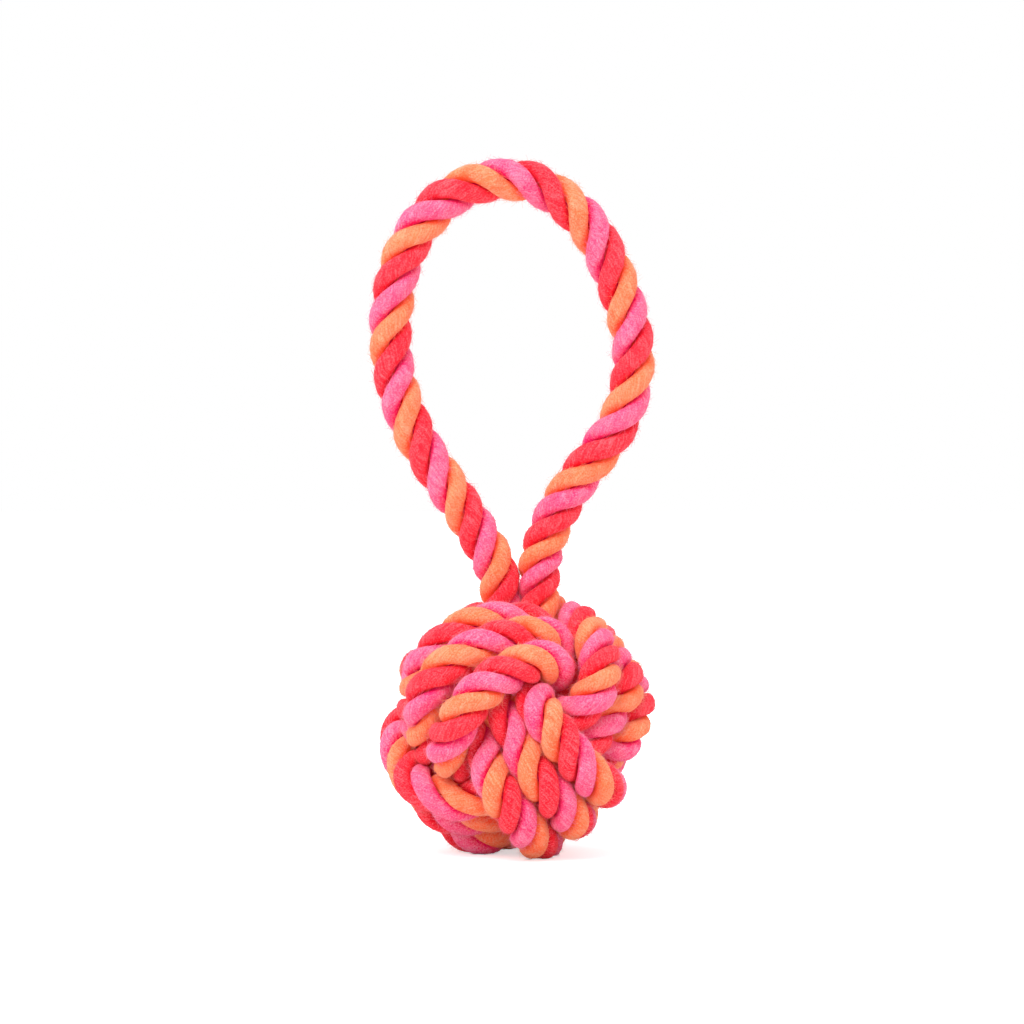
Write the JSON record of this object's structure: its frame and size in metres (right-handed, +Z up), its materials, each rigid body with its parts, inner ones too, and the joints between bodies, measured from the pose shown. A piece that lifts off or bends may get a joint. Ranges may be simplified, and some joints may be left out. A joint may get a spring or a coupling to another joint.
{
  "type": "rope dog toy",
  "caption": "Soft rope tied into a round ball knot about a core, with the same rope standing above it as a hand loop.",
  "frame": {"origin": "on the surface that the ball stands on, under the middle of the toy's outline", "axes": "+Z up from the ball to the hand loop, +X to the right across the loop, -Y towards the viewer"},
  "size_m": [0.086, 0.0872, 0.2129],
  "materials": {
    "rope_pink": "soft matt cotton strand, pink",
    "rope_red": "soft matt cotton strand, red",
    "rope_orange": "soft matt cotton strand, orange",
    "core": "matt, hidden in the knot"
  },
  "bodies": {
    "ball": {"core_ball": "core", "ball_winding": "rope_pink", "neck_left": "rope_orange", "neck_right": "rope_orange"},
    "handle": {"hand_loop": "rope_red"}
  },
  "joints": [
    {"name": "handle_flex", "type": "hinge", "parent": "ball", "child": "handle", "pos_m": [0.00104, 0.00326, 0.0874], "axis": [1, 0, 0], "range_deg": [-60, 60], "stiffness_Nm_per_rad": 0.15, "deforming": ["neck_left", "neck_right"]}
  ]
}
